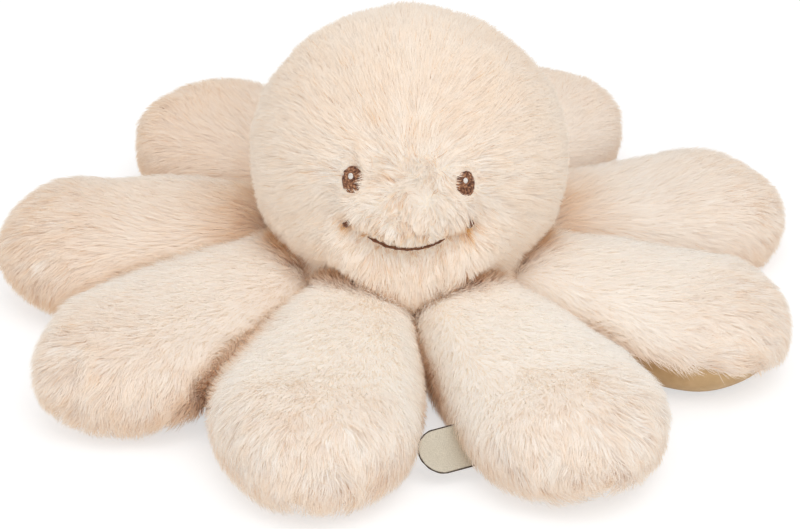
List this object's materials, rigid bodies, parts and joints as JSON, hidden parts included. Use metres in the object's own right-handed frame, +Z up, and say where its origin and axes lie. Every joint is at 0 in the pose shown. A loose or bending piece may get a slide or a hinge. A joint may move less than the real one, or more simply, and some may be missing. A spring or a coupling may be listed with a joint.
{
  "type": "plush octopus",
  "caption": "Stuffed octopus toy: round plush head with an embroidered face on a flat sewn base, ringed by blunt stuffed arms that lift and droop at their root seams.",
  "frame": {"origin": "middle of the base panel's underside, on the surface that the toy lies on", "axes": "+Z up; the face looks along -Y; +X is on the viewer's right when facing the toy"},
  "size_m": [0.3254, 0.3305, 0.1245],
  "materials": {
    "plush": "cream long-pile plush",
    "smooth_cloth": "tan short-nap cloth",
    "filling": "white polyester fibre",
    "brown_thread": "dark brown embroidery",
    "white_thread": "white embroidery",
    "ribbon": "woven satin ribbon"
  },
  "bodies": {
    "body": {"head_plush": "plush", "head_filling": "filling", "base_panel": "smooth_cloth", "eye_left": "brown_thread", "eye_right": "brown_thread", "eye_glint_left": "white_thread", "eye_glint_right": "white_thread", "mouth_thread": "brown_thread", "mouth_corner_left": "brown_thread", "mouth_corner_right": "brown_thread"},
    "arm_front_left": {"arm_front_left_plush_top": "plush", "arm_front_left_underside": "smooth_cloth", "arm_front_left_filling": "filling"},
    "arm_left_front": {"arm_left_front_plush_top": "plush", "arm_left_front_underside": "smooth_cloth", "arm_left_front_filling": "filling"},
    "arm_left_back": {"arm_left_back_plush_top": "plush", "arm_left_back_underside": "smooth_cloth", "arm_left_back_filling": "filling"},
    "arm_back_left": {"arm_back_left_plush_top": "plush", "arm_back_left_underside": "smooth_cloth", "arm_back_left_filling": "filling"},
    "arm_back_right": {"arm_back_right_plush_top": "plush", "arm_back_right_underside": "smooth_cloth", "arm_back_right_filling": "filling"},
    "arm_right_back": {"arm_right_back_plush_top": "plush", "arm_right_back_underside": "smooth_cloth", "arm_right_back_filling": "filling"},
    "arm_right_front": {"arm_right_front_plush_top": "plush", "arm_right_front_underside": "smooth_cloth", "arm_right_front_filling": "filling"},
    "arm_front_right": {"arm_front_right_plush_top": "plush", "arm_front_right_underside": "smooth_cloth", "arm_front_right_filling": "filling", "tag": "ribbon"}
  },
  "joints": [
    {"name": "arm_front_left_lift", "type": "hinge", "parent": "body", "child": "arm_front_left", "pos_m": [-0.01913, -0.04619, 0.015], "axis": [-0.9799, 0.1994, 0], "range_deg": [-20, 25]},
    {"name": "arm_left_front_lift", "type": "hinge", "parent": "body", "child": "arm_left_front", "pos_m": [-0.04619, -0.01913, 0.015], "axis": [-0.7009, 0.7133, 0], "range_deg": [-20, 25]},
    {"name": "arm_left_back_lift", "type": "hinge", "parent": "body", "child": "arm_left_back", "pos_m": [-0.04619, 0.01913, 0.015], "axis": [-0.1132, 0.9936, 0], "range_deg": [-20, 25]},
    {"name": "arm_back_left_lift", "type": "hinge", "parent": "body", "child": "arm_back_left", "pos_m": [-0.01913, 0.04619, 0.015], "axis": [0.6626, 0.749, 0], "range_deg": [-20, 25]},
    {"name": "arm_back_right_lift", "type": "hinge", "parent": "body", "child": "arm_back_right", "pos_m": [0.01913, 0.04619, 0.015], "axis": [0.8949, -0.4462, 0], "range_deg": [-20, 25]},
    {"name": "arm_right_back_lift", "type": "hinge", "parent": "body", "child": "arm_right_back", "pos_m": [0.04619, 0.01913, 0.015], "axis": [0.3502, -0.9367, 0], "range_deg": [-20, 25]},
    {"name": "arm_right_front_lift", "type": "hinge", "parent": "body", "child": "arm_right_front", "pos_m": [0.04619, -0.01913, 0.015], "axis": [-0.4147, -0.91, 0], "range_deg": [-20, 25]},
    {"name": "arm_front_right_lift", "type": "hinge", "parent": "body", "child": "arm_front_right", "pos_m": [0.01913, -0.04619, 0.015], "axis": [-0.91, -0.4147, 0], "range_deg": [-20, 25]}
  ]
}
